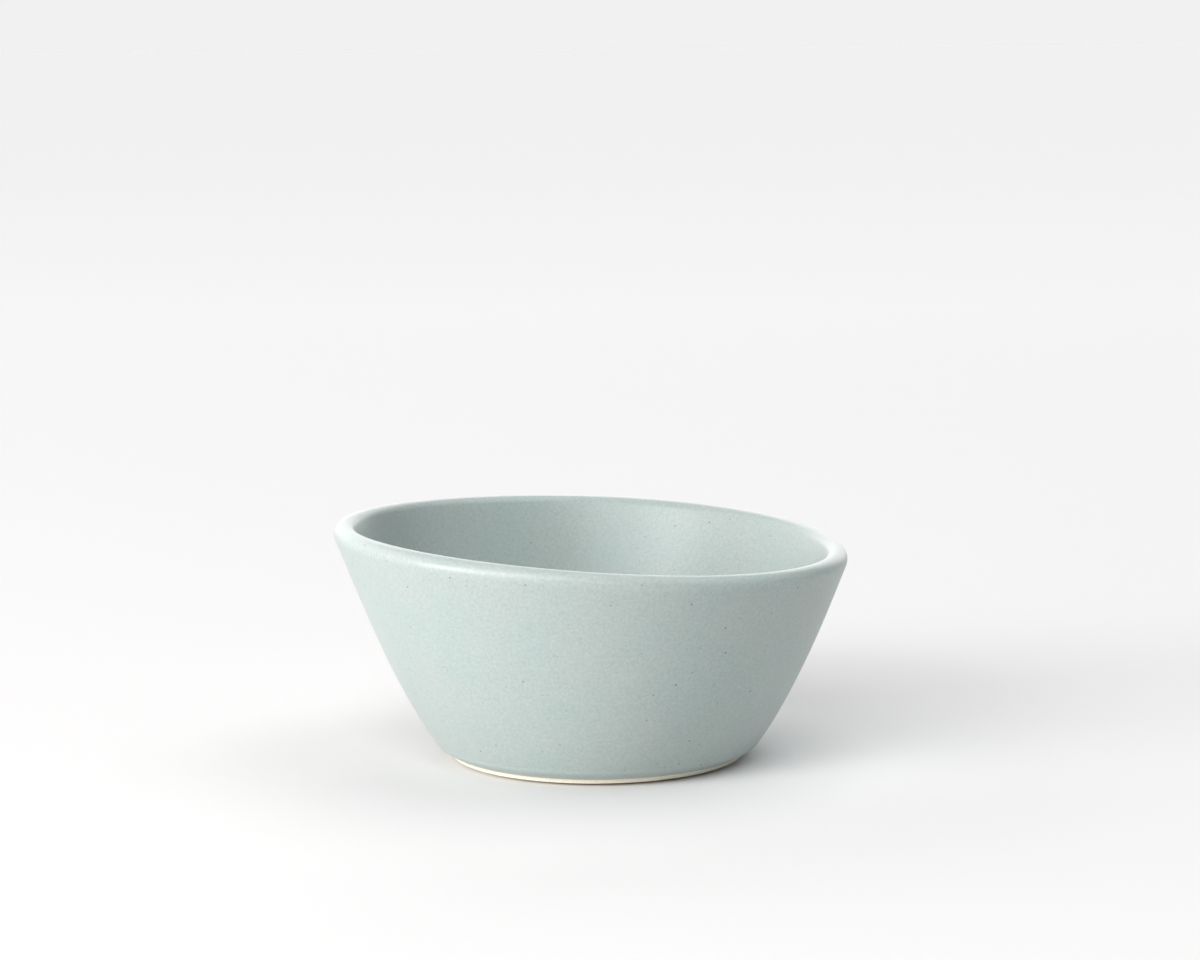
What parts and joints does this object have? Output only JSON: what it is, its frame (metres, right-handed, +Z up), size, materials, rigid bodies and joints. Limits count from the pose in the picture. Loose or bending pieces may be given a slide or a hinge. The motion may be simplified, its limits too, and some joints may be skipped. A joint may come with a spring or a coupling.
{
  "type": "breakfast bowl",
  "caption": "Flared stoneware bowl with a rounded, slightly slanting lip, satin glaze inside and out and a bare clay foot ring; holds one serving.",
  "frame": {"origin": "on the surface that the foot stands on, under the middle of the bowl's reach", "axes": "+Z up out of the bowl's mouth, -X towards the high side of the slanting lip"},
  "size_m": [0.1498, 0.1502, 0.0703],
  "materials": {
    "bare_stoneware": "matte",
    "satin_glaze": "satin"
  },
  "bodies": {
    "root": {"clay_body": "bare_stoneware", "glaze_coat": "satin_glaze", "recess_glaze": "satin_glaze"}
  },
  "joints": []
}
